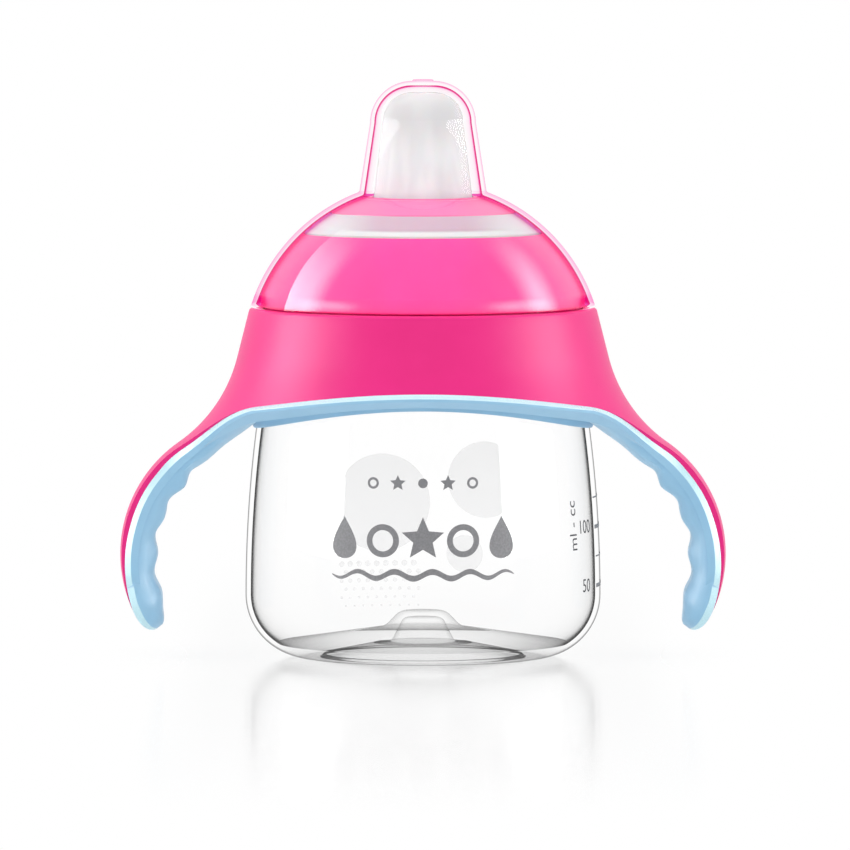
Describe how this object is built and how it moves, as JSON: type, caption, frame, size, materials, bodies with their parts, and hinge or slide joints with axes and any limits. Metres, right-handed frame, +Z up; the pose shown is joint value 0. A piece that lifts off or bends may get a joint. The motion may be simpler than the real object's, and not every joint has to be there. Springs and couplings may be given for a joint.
{
  "type": "sippy cup",
  "caption": "Toddler's drinking cup with a soft spout under a clear cap, a screw ring, and a ring with padded handles on a clear cup.",
  "frame": {"origin": "on the cup's axis, at the table", "axes": "+Z up along the cup's axis, the handles along X"},
  "size_m": [0.1272, 0.0848, 0.1213],
  "materials": {
    "clear_plastic": "clear polished moulding",
    "pink_plastic": "satin pink moulding",
    "blue_soft": "soft-touch light blue overmould",
    "pink_gloss": "polished pink moulding",
    "milky_silicone": "milky translucent silicone",
    "white_plastic": "white moulding",
    "tinted_plastic": "clear pink polished moulding"
  },
  "bodies": {
    "cup": {"cup_body": "clear_plastic"},
    "handle": {"handle_frame": "pink_plastic", "grip_liner": "blue_soft"},
    "spout_unit": {"spout": "milky_silicone", "spout_collar": "pink_gloss"},
    "ring": {"screw_ring": "pink_gloss"},
    "valve": {"valve_body": "white_plastic", "valve_diaphragm": "milky_silicone"},
    "cap": {"hygiene_cap": "tinted_plastic"}
  },
  "joints": [
    {"name": "handle_lift", "type": "slide", "parent": "cup", "child": "handle", "axis": [0, 0, 1], "range_m": [0, 0.075]},
    {"name": "lid_rise", "type": "slide", "parent": "handle", "child": "spout_unit", "axis": [0, 0, 1], "range_m": [0, 0.0051]},
    {"name": "ring_turn", "type": "hinge", "parent": "spout_unit", "child": "ring", "pos_m": [0, 0, 0.07], "axis": [0, 0, 1], "range_deg": [0, 450]},
    {"name": "cap_pull", "type": "slide", "parent": "ring", "child": "cap", "axis": [0, 0, 1], "range_m": [0, 0.05]},
    {"name": "valve_pull", "type": "slide", "parent": "spout_unit", "child": "valve", "axis": [0, 0, -1], "range_m": [0, 0.012]}
  ],
  "couplings": [
    {"joint": "lid_rise", "follows": "ring_turn", "m_per_rad": 0.00063662}
  ]
}
